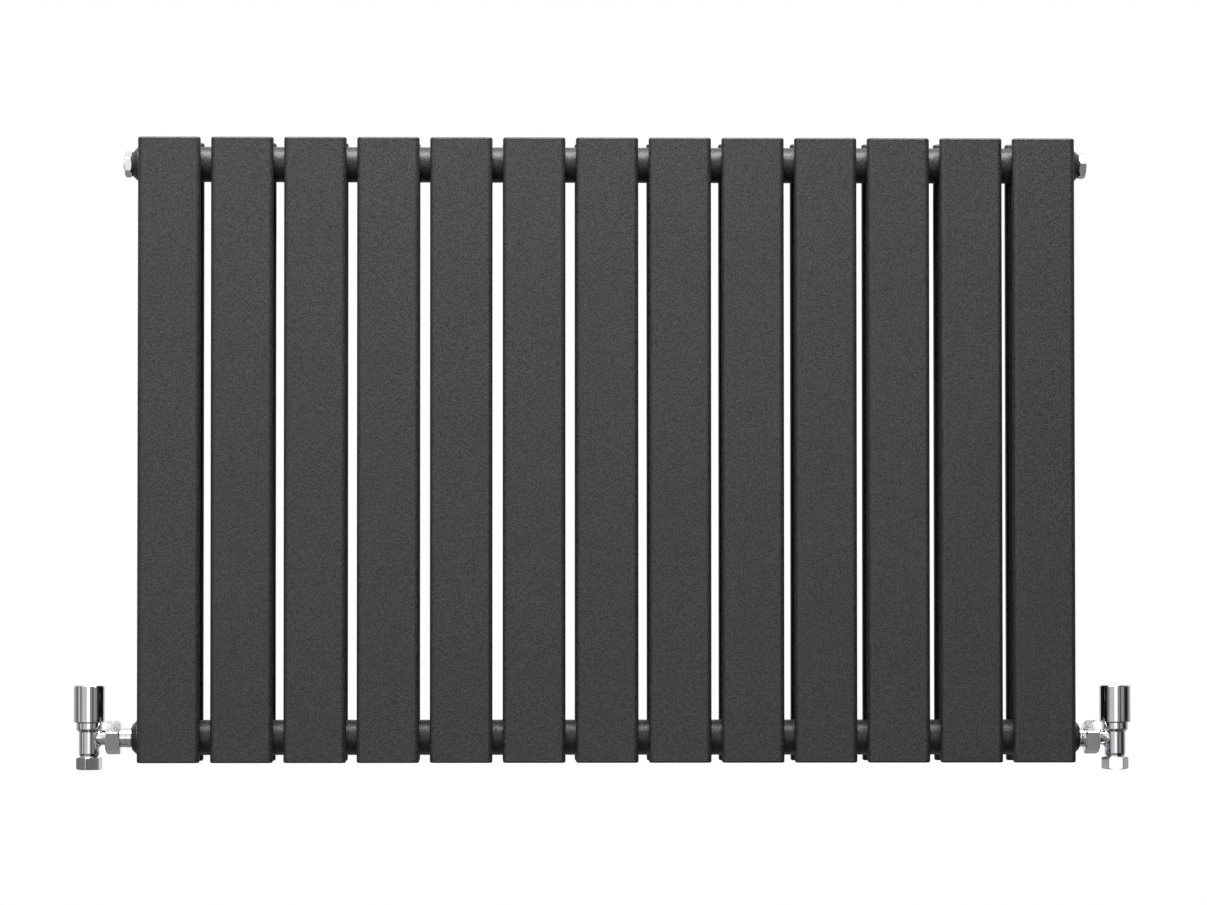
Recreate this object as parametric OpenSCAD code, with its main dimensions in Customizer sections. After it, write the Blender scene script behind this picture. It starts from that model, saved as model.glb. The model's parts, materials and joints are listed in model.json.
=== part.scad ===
// Horizontal double-row flat-panel radiator with an angled valve at each lower corner.
// The frame: +X to the right as seen from the room, +Y towards the wall, +Z up. The origin is on the
// wall, at the centre of the eight bracket screws. All sizes are in millimetres.

/* [Panels] */
// Number of flat panels in each row
panel_count = 13; // [7:1:13]
// Width of one flat panel
panel_w = 60; // [56:1:64]
// Thickness of one flat panel, front to back
panel_t = 11; // [10.5:0.5:13]
// Height of one flat panel, end caps included
panel_h = 600; // [560:5:700]
// Distance between the centres of neighbouring panels
panel_pitch = 70; // [68:1:76]
// Wall thickness of the flat tube
panel_wall = 1.5; // [1.2:0.1:2]
// Radius of the flat tube's long edges
panel_edge_r = 5; // [3:0.5:5]

/* [Headers] */
// Outside diameter of the round header tubes
header_od = 34; // [32:0.5:38]
// Wall thickness of the header tubes
header_wall = 2; // [1.5:0.25:2.5]
// Distance from a panel's end to the header's axis
header_inset = 23.5; // [22:0.5:30]
// Height of the drawn collar that joins a panel to a header
collar_h = 1.5; // [1:0.5:3]

/* [Wall fixing] */
// Distance from the wall to the back of the rear row
wall_gap = 40; // [40:1:50]
// Number of panels between each bracket and the nearer end of the radiator
panels_outside = 2; // [1:1:2]
// Distance from the radiator's middle to each bracket, up and down
bracket_z = 225; // [180:5:225]
// Distance from a bracket's centre to each of its two wall screws
wall_screw_z = 35; // [32:1:40]

/* [Valves] */
// Distance from the header boss's face to the left valve's axis
left_reach = 41.4; // [34.6:0.1:43]
// Distance from the header boss's face to the right valve's axis
right_reach = 35.6; // [34.6:0.1:43]
// Diameter of the handwheel and of the lockshield cap
head_d = 30; // [29:0.5:34]
// Height of the handwheel and of the lockshield cap
head_h = 35.5; // [34:0.5:40]
// Outside diameter of the pipe that the valves take
pipe_d = 15; // [15:1:15]

/* [Hidden] */
$fn = 48;
two_digits = [for (i = [1 : panel_count]) i < 10 ? str("0", i) : str(i)];

// Colours
coat = [0.20, 0.20, 0.21];
chrome = [0.85, 0.86, 0.88];
brass = [0.80, 0.62, 0.28];
rubber = [0.06, 0.06, 0.06];
zinc = [0.72, 0.73, 0.74];
bracket_black = [0.12, 0.12, 0.13];

// Clearances between parts that move or screw together, and the overlap that keeps a cut clean
running = 0.05;
seat_gap = 0.1;
cut = 1;
fine_cut = 0.01;

// Depths, measured from the wall
header_r = header_od / 2;
rear_back_y = -wall_gap;
rear_front_y = rear_back_y - panel_t;
header_y = rear_front_y - collar_h - header_r;
front_back_y = header_y - header_r - collar_h;
rear_mid_y = rear_back_y - panel_t / 2;
front_mid_y = front_back_y - panel_t / 2;

// Heights and widths of the welded body
header_z = panel_h / 2 - header_inset;
half_w = ((panel_count - 1) * panel_pitch + panel_w) / 2;
cap_t = 2.5;
cap_round = 1.8;
tube_half_h = panel_h / 2 - cap_t;
port_r = 7;
collar_r = 9;
collar_sink = 1;
arc_steps = 6;

// Threaded boss welded into each end of a header
boss_gap = 1;
boss_out = 6.5;
boss_chamfer = 5;
boss_spigot = 7;
spigot_play = 0.1;
boss_start_x = half_w + boss_gap;
boss_face_x = half_w + boss_out;
thread_bore_r = 10.5;
thread_r = 10.45;

// Plugs in the upper bosses
seal_t = 1.2;
seal_r = 11.6;
plug_head = 6.8;
plug_af = 22;
plug_chamfer = 1.8;
plug_thread_l = 9;
plug_seat_x = boss_face_x + seal_t;
plug_face_x = plug_seat_x + plug_head;
plug_hollow_r = 7.4;
bleed_turn = 8;
blank_turn = 22;
plug_floor = 2;
dome_base_r = 8.4;
dome_top_r = 6.4;
dome_h = 0.8;

// Bleed valve
pin_r = 3;
pin_l = 11;
pin_square = 5;
pin_square_l = 3.2;
pin_recess = 1;
pin_cone_low_r = 5.6;
pin_cone_top_r = 2.2;
pin_cone_h = 6.8;
pin_square_root = 0.3;
pin_socket_r = 1;
pin_socket_l = 2;
nozzle_r = 4.6;
nozzle_bore_r = 3.8;
nozzle_l = 1.4;
nozzle_deeper = 0.6;
bleed_washer_t = 1;
bleed_inlet_r = 1.5;
weep_r = 0.9;
weep_x = 0.3;
weep_angle = 38;
pin_out_x = plug_face_x + nozzle_l - pin_recess;
pin_in_x = pin_out_x - pin_l;
pin_thread_out_x = pin_out_x - pin_square_l;
bleed_seat_x = pin_in_x - bleed_washer_t - seat_gap;

// Valve heights, measured from the union's axis
seat_z = -7;
stub_end_z = -25.2;
pipe_depth = 11.5;
pipe_stop_z = stub_end_z + pipe_depth;
nut_top_z = -18.9;
nut_bottom_z = -30.9;
collar_low_z = 8;
body_top_z = 14.3;
bonnet_low_z = 5.6;
bonnet_hex_top_z = 18.1;
bonnet_top_z = 26.4;
spindle_low_z = -2.3;
spindle_thread_top_z = 9.5;
square_low_z = 30.4;
spindle_top_z = 36.4;
head_low_z = 14.7;
head_top_z = head_low_z + head_h;

// Valve widths
body_r = 10;
body_collar_r = 12.5;
neck_r = 7.25;
chamber_r = 8.2;
waterway_r = 5.5;
stub_r = 9;
bonnet_bore_r = 9;
bonnet_af = 21;
bonnet_neck_r = 7.5;
bonnet_turn = 15;
small_chamfer = 0.8;
spindle_thread_r = 4.95;
stem_r = 3.4;
spindle_square = 5.6;
spindle_socket_r = 2.05;
spindle_socket_top_z = 3.3;
seal_groove_r = 5;
seal_groove_low_z = 19.2;
seal_groove_h = 2.2;
seal_section_r = 0.75;
jumper_r = 6.8;
jumper_t = 2;
jumper_stem_r = 2;
jumper_stub_r = 1.4;
jumper_washer_r = 6.5;
jumper_washer_t = 2.5;
jumper_end_gap = 0.3;
union_start_x = 16.3;
union_end_x = 30.3;
union_face_x = 25;
union_thread_r = 13.2;
union_af = 29;
tail_neck_r = 9.6;
tail_bore_r = 7.5;
tail_shoulder_r = 12.6;
tail_shoulder_t = 1.4;
tail_thread_l = 9.5;
compression_af = 22.5;
left_union_turn = 13;
right_union_turn = 47;
left_compression_turn = 21;
right_compression_turn = 55;
pipe_play = 0.1;
pipe_bore_r = pipe_d / 2 + pipe_play;
left_axis_x = -(boss_face_x + left_reach);
right_axis_x = boss_face_x + right_reach;

// Handwheel and lockshield cap
head_bore_r = 13;
head_roof = 4.9;
hub_r = 6.5;
hub_play = 0.05;
hub_floor = 0.2;
wheel_screw_r = 1.6;
wheel_screw_hole_r = 2.1;
wheel_screw_low_z = 30;
wheel_screw_spare = 2;
wheel_screw_seat_z = 40.4;
wheel_screw_head_r = 3.6;
wheel_screw_head_h = 2.6;
wheel_screw_hex_r = 1.5;
screw_recess_r = 4;
badge_r = 8;
badge_t = 2;
cap_roof = 3;
cap_grip_r = 12.4;
cap_grip_h = 4;

// Wall bracket, its hook stud and the lug that hangs on it
bracket_x = panel_x(panel_count - 1 - panels_outside);
bracket_plate = 3;
bracket_w = 36;
bracket_h = 92;
bracket_corner_r = 5;
arm_w = 30;
arm_h = 38;
arm_y = -26;
wall_hole_r = 3.5;
lug_steel = 2.5;
lug_w = 30;
lug_h = 44;
lug_clear = 3.5;
bend_r = 1.5;
lug_web_y = arm_y - lug_clear;
lug_depth = lug_web_y - rear_back_y;
keyhole_r = 7;
keyhole_drop = 13;
slot_r = 3.5;
stud_neck_r = 3.25;
stud_flange_r = 6;
stud_head_t = 3;
stud_thread_r = 4;
stud_thread_l = 11;
stud_play = 0.6;
stud_nut_af = 13;
stud_nut_h = 6.5;
stud_nut_turn = 30;

// ---- Shared shapes ----

// Points of an arc about a centre, from start_deg on
function arc(cx, cy, r, start_deg, sweep = 90) =
    [for (k = [0 : arc_steps])
        [cx + r * cos(start_deg + sweep * k / arc_steps), cy + r * sin(start_deg + sweep * k / arc_steps)]];

// Points of a rectangle about the origin with rounded corners
function rounded_rect(w, d, r) = concat(
    arc(w / 2 - r, d / 2 - r, r, 0),
    arc(-w / 2 + r, d / 2 - r, r, 90),
    arc(-w / 2 + r, -d / 2 + r, r, 180),
    arc(w / 2 - r, -d / 2 + r, r, 270));

// Points of a rectangle that stands on the axis and has rounded upper corners
function rounded_top(w, h, r) = concat(
    [[-w / 2, 0], [w / 2, 0]], arc(w / 2 - r, h - r, r, 0), arc(-w / 2 + r, h - r, r, 90));

function panel_x(i) = (i - (panel_count - 1) / 2) * panel_pitch;

// A round bar along X, Y or Z between two places on that axis
module rod_x(r, x0, x1) translate([x0, 0, 0]) rotate([0, 90, 0]) cylinder(r = r, h = x1 - x0);
module rod_y(r, y0, y1) translate([0, y0, 0]) rotate([-90, 0, 0]) cylinder(r = r, h = y1 - y0);
module rod_z(r, z0, z1) translate([0, 0, z0]) cylinder(r = r, h = z1 - z0);

// A cone along Z between two heights
module cone_z(r0, r1, z0, z1) translate([0, 0, z0]) cylinder(r1 = r0, r2 = r1, h = z1 - z0);

// A box about the Z axis between two heights
module square_bar(side, z0, z1) translate([-side / 2, -side / 2, z0]) cube([side, side, z1 - z0]);

// A hexagonal bar along Z with both ends turned to a cone that cuts the corners back by chamfer
module hex_bar(af, z0, z1, turn, chamfer) {
    corner_r = af / sqrt(3);
    slope = 0.7;
    wide = corner_r + cut;
    rise = (chamfer + cut) * slope;
    intersection() {
        rotate([0, 0, turn]) translate([0, 0, z0]) cylinder(r = corner_r, h = z1 - z0, $fn = 6);
        rotate_extrude() polygon([
            [0, z0], [corner_r - chamfer, z0], [wide, z0 + rise],
            [wide, z1 - rise], [corner_r - chamfer, z1], [0, z1]]);
    }
}

// Turns a shape made along Z so that it runs along +X
module along_x() rotate([0, 90, 0]) children();

// Draws a shape at each of the four wall brackets
module at_brackets()
    for (sx = [-1, 1], sz = [-1, 1])
        translate([sx * bracket_x, 0, sz * bracket_z]) children();

// ---- Flat panels ----

module header_cylinders() for (sz = [-1, 1])
    translate([0, header_y, sz * header_z]) rod_x(header_r, -half_w, half_w);

// One flat tube, open at both ends, with a water port and a collar at each header. mid_y is the tube's
// middle, and towards is +1 or -1 along Y, from the tube to the headers.
module flat_tube(x, mid_y, towards) {
    collar_y = mid_y + towards * (panel_t / 2 - collar_sink);
    inner_w = panel_w - 2 * panel_wall;
    inner_t = panel_t - 2 * panel_wall;
    difference() {
        union() {
            translate([x, mid_y, -tube_half_h]) linear_extrude(2 * tube_half_h)
                polygon(rounded_rect(panel_w, panel_t, panel_edge_r));
            for (sz = [-1, 1]) translate([x, 0, sz * header_z])
                rod_y(collar_r, min(collar_y, header_y), max(collar_y, header_y));
        }
        translate([x, mid_y, -panel_h]) linear_extrude(2 * panel_h)
            polygon(rounded_rect(inner_w, inner_t, panel_edge_r - panel_wall));
        for (sz = [-1, 1]) translate([x, 0, sz * header_z])
            rod_y(port_r, min(mid_y, header_y), max(mid_y, header_y));
        header_cylinders();
    }
}

module front_panel(i) color(coat) flat_tube(panel_x(i), front_mid_y, 1);
module rear_panel(i) color(coat) flat_tube(panel_x(i), rear_mid_y, -1);

// A steel plate that closes one end of a flat tube, with its outer edges rounded
module end_cap() intersection() {
    linear_extrude(cap_t) polygon(rounded_rect(panel_w, panel_t, panel_edge_r));
    translate([0, panel_t / 2, 0]) rotate([90, 0, 0])
        linear_extrude(panel_t) polygon(rounded_top(panel_w, cap_t, cap_round));
    translate([-panel_w / 2, 0, 0]) rotate([90, 0, 90])
        linear_extrude(panel_w) polygon(rounded_top(panel_t, cap_t, cap_round));
}

module end_cap_rows() for (i = [0 : panel_count - 1], y = [front_mid_y, rear_mid_y])
    translate([panel_x(i), y, tube_half_h]) end_cap();

module top_end_caps() color(coat) end_cap_rows();
module bottom_end_caps() color(coat) mirror([0, 0, 1]) end_cap_rows();

// ---- Headers ----

// A header tube, drilled right through from front to back at each pair of panels
module header(z) translate([0, header_y, z]) difference() {
    rod_x(header_r, -boss_start_x, boss_start_x);
    rod_x(header_r - header_wall, -boss_start_x - cut, boss_start_x + cut);
    for (i = [0 : panel_count - 1]) translate([panel_x(i), 0, 0]) rod_y(port_r, -header_od, header_od);
}

module top_header() color(coat) header(header_z);
module bottom_header() color(coat) header(-header_z);

// A threaded boss along +X, with a spigot inside the header and its outer edge turned to a cone
module boss() {
    spigot_r = header_r - header_wall - spigot_play;
    rotate([0, 90, 0]) rotate_extrude() polygon([
        [thread_bore_r, boss_start_x - boss_spigot],
        [spigot_r, boss_start_x - boss_spigot],
        [spigot_r, boss_start_x],
        [header_r, boss_start_x],
        [header_r, boss_face_x - boss_chamfer],
        [header_r - boss_chamfer, boss_face_x],
        [thread_bore_r, boss_face_x]]);
}

module header_bosses() color(coat)
    for (sx = [0, 1], sz = [-1, 1]) translate([0, header_y, sz * header_z]) mirror([sx, 0, 0]) boss();

// ---- Top plugs: the bleed valve on the left and the blanking plug on the right ----

module at_top_left() translate([0, header_y, header_z]) mirror([1, 0, 0]) children();
module at_top_right() translate([0, header_y, header_z]) children();

// Hexagonal head and thread of a plug, along +X
module plug_blank(turn) {
    translate([plug_seat_x, 0, 0]) along_x() hex_bar(plug_af, 0, plug_head, turn, plug_chamfer);
    rod_x(thread_r, boss_face_x - plug_thread_l, plug_seat_x);
}

module bleed_valve_body() color(chrome) at_top_left() difference() {
    union() {
        plug_blank(bleed_turn);
        rod_x(nozzle_r, plug_face_x - cut, plug_face_x + nozzle_l);
    }
    rod_x(pin_r + running, bleed_seat_x, plug_face_x + nozzle_l + cut);
    rod_x(bleed_inlet_r, boss_face_x - plug_thread_l - cut, pin_in_x);
    rod_x(nozzle_bore_r, pin_thread_out_x - nozzle_deeper, plug_face_x + nozzle_l + cut);
    translate([plug_seat_x + plug_head * weep_x, 0, 0]) rotate([weep_angle, 0, 0])
        rod_z(weep_r, pin_r - cut, plug_af);
}

// Screw with a tapered square end for the bleed key. A full turn carries it 1 mm outwards.
module bleed_pin() color(brass) at_top_left() intersection() {
    difference() {
        union() {
            rod_x(pin_r, pin_in_x, pin_thread_out_x);
            along_x() square_bar(pin_square, pin_thread_out_x - pin_square_root, pin_out_x);
        }
        rod_x(pin_socket_r, pin_in_x - cut, pin_in_x + pin_socket_l);
    }
    union() {
        rod_x(2 * pin_r, pin_in_x - cut, pin_thread_out_x);
        along_x() cone_z(pin_cone_low_r, pin_cone_top_r, pin_thread_out_x, pin_thread_out_x + pin_cone_h);
    }
}

// Soft seat that the bleed pin pushes along, with a stem in the pin's socket
module bleed_seat_washer() color(rubber) at_top_left() {
    rod_x(pin_r - 4 * running, pin_in_x - bleed_washer_t, pin_in_x);
    rod_x(pin_socket_r - 2 * running, pin_in_x - bleed_washer_t, pin_in_x + pin_socket_l - 4 * running);
}

module blanking_plug() color(chrome) at_top_right() difference() {
    union() {
        plug_blank(blank_turn);
        translate([plug_face_x, 0, 0]) along_x() cone_z(dome_base_r, dome_top_r, 0, dome_h);
    }
    rod_x(plug_hollow_r, boss_face_x - plug_thread_l - cut, boss_face_x - plug_floor);
}

module plug_seals() color(rubber) for (sx = [0, 1])
    translate([0, header_y, header_z]) mirror([sx, 0, 0]) difference() {
        rod_x(seal_r, boss_face_x, plug_seat_x);
        rod_x(thread_r + running, boss_face_x - cut, plug_seat_x + cut);
    }

// ---- Wall fixing ----

// A channel folded from plate, which stands on the XZ plane and has its web towards +Y
module folded_channel(w, depth, steel, h)
    translate([0, 0, -h / 2]) linear_extrude(h) difference() {
        polygon(rounded_top(w, depth, steel + bend_r));
        translate([0, -cut]) polygon(rounded_top(w - 2 * steel, depth - steel + cut, bend_r));
    }

// A folded channel welded to the back of a rear panel, with a keyhole for the hook stud
module hanging_lug() difference() {
    translate([0, rear_back_y, 0]) folded_channel(lug_w, lug_depth, lug_steel, lug_h);
    translate([0, 0, -keyhole_drop]) rod_y(keyhole_r, lug_web_y - lug_steel - cut, lug_web_y + cut);
    rod_y(slot_r, lug_web_y - lug_steel - cut, lug_web_y + cut);
    translate([-slot_r, lug_web_y - lug_steel - cut, -keyhole_drop])
        cube([2 * slot_r, lug_steel + 2 * cut, keyhole_drop]);
}

// A plate for the wall with a folded channel that carries the hook stud
module wall_bracket() difference() {
    union() {
        rotate([90, 0, 0]) linear_extrude(bracket_plate)
            polygon(rounded_rect(bracket_w, bracket_h, bracket_corner_r));
        translate([0, -bracket_plate / 2, 0]) mirror([0, 1, 0])
            folded_channel(arm_w, -arm_y - bracket_plate / 2, bracket_plate, arm_h);
    }
    for (sz = [-1, 1]) translate([0, 0, sz * wall_screw_z]) rod_y(wall_hole_r, -bracket_plate - cut, cut);
    rod_y(stud_thread_r + 4 * running, arm_y - cut, arm_y + bracket_plate + cut);
}

// The lug hangs on the neck between the stud's head and its shoulder
module hook_stud() {
    head_y = lug_web_y - lug_steel - stud_play;
    shoulder_y = lug_web_y + stud_play;
    rod_y(stud_flange_r, head_y - stud_head_t, head_y);
    rod_y(stud_neck_r, head_y, shoulder_y);
    rod_y(stud_flange_r, shoulder_y, arm_y);
    rod_y(stud_thread_r, arm_y, arm_y + stud_thread_l);
}

module hook_stud_nut() difference() {
    translate([0, arm_y + bracket_plate, 0]) rotate([-90, 0, 0])
        hex_bar(stud_nut_af, 0, stud_nut_h, stud_nut_turn, small_chamfer);
    rod_y(stud_thread_r, arm_y, arm_y + stud_thread_l);
}

module hanging_lugs() color(coat) at_brackets() hanging_lug();
module wall_brackets() color(bracket_black) at_brackets() wall_bracket();
module hook_studs() color(zinc) at_brackets() hook_stud();
module hook_stud_nuts() color(zinc) at_brackets() hook_stud_nut();

// ---- Angled valves ----
// Each valve is drawn with its union axis at z = 0, its spindle at x = 0 and its branch towards +X.

module at_left_valve() translate([left_axis_x, header_y, -header_z]) children();
module at_right_valve() translate([right_axis_x, header_y, -header_z]) rotate([0, 0, 180]) children();

module valve_body() {
    edge = 0.6;
    cone_h = 3.5;
    mouth_h = 1.6;
    mouth_rim = 0.4;
    neck_root = 2;
    difference() {
        union() {
            rotate_extrude() polygon([
                [0, stub_end_z], [stub_r, stub_end_z], [stub_r, nut_top_z + edge],
                [body_r, nut_top_z + cone_h], [body_r, collar_low_z - body_collar_r + body_r],
                [body_collar_r, collar_low_z],
                [body_collar_r, body_top_z - edge], [body_collar_r - edge, body_top_z], [0, body_top_z]]);
            rod_x(neck_r, 0, union_start_x + neck_root);
            rod_x(union_thread_r - running, union_start_x + edge, union_face_x);
        }
        rod_z(pipe_bore_r, stub_end_z - cut, pipe_stop_z);
        cone_z(stub_r - mouth_rim, pipe_bore_r, stub_end_z - fine_cut, stub_end_z + mouth_h);
        rod_z(waterway_r, pipe_stop_z - cut, seat_z + cut);
        rod_z(chamber_r, seat_z, bonnet_low_z);
        rod_z(bonnet_bore_r, bonnet_low_z - seat_gap, body_top_z + cut);
        rod_x(waterway_r, 0, union_face_x + cut);
    }
}

// Union tail: a shoulder inside the nut, a plain neck, then the thread that screws into the boss.
// reach is the distance from the valve's axis to the boss's face.
module tailpiece(reach) {
    shoulder_slope = 0.5;
    thread_start_x = reach - small_chamfer;
    thread_end_x = reach + tail_thread_l;
    shoulder_end_x = union_face_x + tail_shoulder_t;
    rotate([0, 90, 0]) rotate_extrude() polygon([
        [tail_bore_r, union_face_x], [tail_shoulder_r, union_face_x], [tail_shoulder_r, shoulder_end_x],
        [tail_neck_r, shoulder_end_x + shoulder_slope], [tail_neck_r, thread_start_x],
        [thread_r - small_chamfer, thread_start_x], [thread_r, thread_start_x + small_chamfer],
        [thread_r, thread_end_x - small_chamfer], [thread_r - small_chamfer, thread_end_x],
        [tail_bore_r, thread_end_x]]);
}

module union_nut(turn) {
    chamfer = 2.2;
    seat_cone_l = 0.9;
    hole_r = tail_neck_r + 4 * running;
    collar_x = union_face_x + tail_shoulder_t;
    difference() {
        along_x() hex_bar(union_af, union_start_x, union_end_x, turn, chamfer);
        rod_x(union_thread_r, union_start_x - cut, collar_x);
        along_x() cone_z(union_thread_r, hole_r, collar_x - fine_cut, collar_x + seat_cone_l);
        rod_x(hole_r, collar_x, union_end_x + cut);
    }
}

// The nut's inner cone pushes the olive onto the pipe and into the body's mouth
module compression_nut(turn) {
    chamfer = 1.6;
    cone_h = 2;
    cone_drop = 1.2;
    cone_top_z = stub_end_z - cone_drop;
    cone_low_z = cone_top_z - cone_h;
    difference() {
        hex_bar(compression_af, nut_bottom_z, nut_top_z, turn, chamfer);
        rod_z(stub_r + running, cone_top_z, nut_top_z + cut);
        cone_z(pipe_bore_r, stub_r + running, cone_low_z, cone_top_z + fine_cut);
        rod_z(pipe_bore_r, nut_bottom_z - cut, cone_low_z + fine_cut);
    }
}

// Barrel-shaped ring between the body's mouth and the nut
module olive() {
    below_stub = 2.9;
    inside_stub = 1;
    low_z = stub_end_z - below_stub;
    high_z = stub_end_z + inside_stub;
    end_t = 0.15;
    belly_t = 0.9;
    taper_h = 1.3;
    rotate_extrude() polygon([
        [pipe_bore_r, low_z], [pipe_bore_r + end_t, low_z], [pipe_bore_r + belly_t, low_z + taper_h],
        [pipe_bore_r + belly_t, high_z - taper_h], [pipe_bore_r + end_t, high_z], [pipe_bore_r, high_z]]);
}

module bonnet() difference() {
    union() {
        rod_z(bonnet_bore_r - running, bonnet_low_z, body_top_z + cut);
        hex_bar(bonnet_af, body_top_z, bonnet_hex_top_z, bonnet_turn, small_chamfer);
        rod_z(bonnet_neck_r, bonnet_hex_top_z - cut, bonnet_top_z);
    }
    rod_z(spindle_thread_r + running, bonnet_low_z - cut, body_top_z);
    rod_z(stem_r + running, body_top_z - cut, bonnet_top_z + cut);
    rod_z(seal_groove_r, seal_groove_low_z, seal_groove_low_z + seal_groove_h);
}

// Round seal in the bonnet's groove, against the stem
module gland_seal() {
    ring_r = seal_groove_r - seal_section_r - running / 2;
    translate([0, 0, seal_groove_low_z + seal_groove_h / 2])
        rotate_extrude() translate([ring_r, 0]) circle(r = seal_section_r);
}

// Screwed stem that lifts the jumper; its square takes the handwheel or a lockshield key
module spindle(tapped) difference() {
    union() {
        rod_z(spindle_thread_r, spindle_low_z, spindle_thread_top_z);
        rod_z(stem_r, spindle_thread_top_z - cut, square_low_z);
        square_bar(spindle_square, square_low_z - cut, spindle_top_z);
    }
    rod_z(spindle_socket_r, spindle_low_z - cut, spindle_socket_top_z);
    if (tapped) rod_z(wheel_screw_r, wheel_screw_low_z - wheel_screw_spare, spindle_top_z + cut);
}

// Disc under the spindle, with a stem in the spindle's socket and a stub that holds the washer
module jumper() {
    washer_top_z = seat_z + seat_gap + jumper_washer_t;
    rod_z(jumper_r, washer_top_z, washer_top_z + jumper_t);
    rod_z(jumper_stem_r, washer_top_z, spindle_socket_top_z - jumper_end_gap);
    rod_z(jumper_stub_r, seat_z + jumper_end_gap, washer_top_z + seat_gap);
}

module jumper_washer() difference() {
    rod_z(jumper_washer_r, seat_z + seat_gap, seat_z + seat_gap + jumper_washer_t);
    rod_z(jumper_stub_r + running, seat_z, seat_z + 2 * jumper_washer_t);
}

// Outside of the handwheel and of the lockshield cap
module head_shell() {
    r = head_d / 2;
    low_edge = 0.4;
    crown = 1.2;
    crown_step = 0.4;
    rotate_extrude() polygon([
        [0, head_low_z], [r - low_edge, head_low_z], [r, head_low_z + low_edge],
        [r, head_top_z - crown], [r - crown_step, head_top_z - crown_step],
        [r - crown, head_top_z], [0, head_top_z]]);
}

module handwheel() difference() {
    head_shell();
    difference() {
        rod_z(head_bore_r, head_low_z - cut, head_top_z - head_roof);
        rod_z(hub_r, square_low_z, head_top_z);
    }
    square_bar(spindle_square + 2 * hub_play, square_low_z - cut, spindle_top_z + hub_floor);
    rod_z(wheel_screw_hole_r, spindle_top_z, wheel_screw_seat_z + cut);
    rod_z(screw_recess_r, wheel_screw_seat_z, head_top_z);
    rod_z(badge_r + hub_play, head_top_z - badge_t, head_top_z + cut);
}

module handwheel_screw() difference() {
    union() {
        rod_z(wheel_screw_r, wheel_screw_low_z, wheel_screw_seat_z + cut);
        rod_z(wheel_screw_head_r, wheel_screw_seat_z, wheel_screw_seat_z + wheel_screw_head_h);
    }
    translate([0, 0, wheel_screw_seat_z + cut])
        cylinder(r = wheel_screw_hex_r, h = wheel_screw_head_h, $fn = 6);
}

// Plain disc that closes the screw's recess
module handwheel_cap() {
    edge = 0.5;
    rotate_extrude() polygon([
        [0, head_top_z - badge_t], [badge_r, head_top_z - badge_t], [badge_r, head_top_z - edge],
        [badge_r - edge, head_top_z], [0, head_top_z]]);
}

module lockshield_cap() difference() {
    head_shell();
    rod_z(head_bore_r, head_low_z + cap_grip_h, head_top_z - cap_roof);
    rod_z(cap_grip_r, head_low_z - cut, head_low_z + cap_grip_h + cut);
}

module left_valve_body() color(chrome) at_left_valve() valve_body();
module left_tailpiece() color(chrome) at_left_valve() tailpiece(left_reach);
module left_bonnet() color(brass) at_left_valve() bonnet();
module left_spindle() color(brass) at_left_valve() spindle(true);
module left_jumper() color(brass) at_left_valve() jumper();
module left_jumper_washer() color(rubber) at_left_valve() jumper_washer();
module left_handwheel() color(chrome) at_left_valve() handwheel();
module left_handwheel_screw() color(zinc) at_left_valve() handwheel_screw();
module left_handwheel_cap() color(chrome) at_left_valve() handwheel_cap();
module right_valve_body() color(chrome) at_right_valve() valve_body();
module right_tailpiece() color(chrome) at_right_valve() tailpiece(right_reach);
module right_bonnet() color(brass) at_right_valve() bonnet();
module right_spindle() color(brass) at_right_valve() spindle(false);
module right_jumper() color(brass) at_right_valve() jumper();
module right_jumper_washer() color(rubber) at_right_valve() jumper_washer();
module right_lockshield_cap() color(chrome) at_right_valve() lockshield_cap();

module union_nuts() color(chrome) {
    at_left_valve() union_nut(left_union_turn);
    at_right_valve() union_nut(right_union_turn);
}
module compression_nuts() color(chrome) {
    at_left_valve() compression_nut(left_compression_turn);
    at_right_valve() compression_nut(right_compression_turn);
}
module olives() color(brass) {
    at_left_valve() olive();
    at_right_valve() olive();
}
module gland_seals() color(rubber) {
    at_left_valve() gland_seal();
    at_right_valve() gland_seal();
}

// ---- What is drawn ----

for (i = [0 : panel_count - 1]) {
    front_panel(i);
    rear_panel(i);
}
top_end_caps();
bottom_end_caps();
top_header();
bottom_header();
header_bosses();
bleed_valve_body();
bleed_pin();
bleed_seat_washer();
blanking_plug();
plug_seals();
hanging_lugs();
wall_brackets();
hook_studs();
hook_stud_nuts();
left_valve_body();
left_tailpiece();
left_bonnet();
left_spindle();
left_jumper();
left_jumper_washer();
left_handwheel();
left_handwheel_screw();
left_handwheel_cap();
right_valve_body();
right_tailpiece();
right_bonnet();
right_spindle();
right_jumper();
right_jumper_washer();
right_lockshield_cap();
union_nuts();
compression_nuts();
olives();
gland_seals();
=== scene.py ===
"""Studio picture of a double-row flat-panel radiator with two chrome angled valves."""
import json
import math

import bmesh
import bpy
from mathutils import Matrix, Vector


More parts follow.
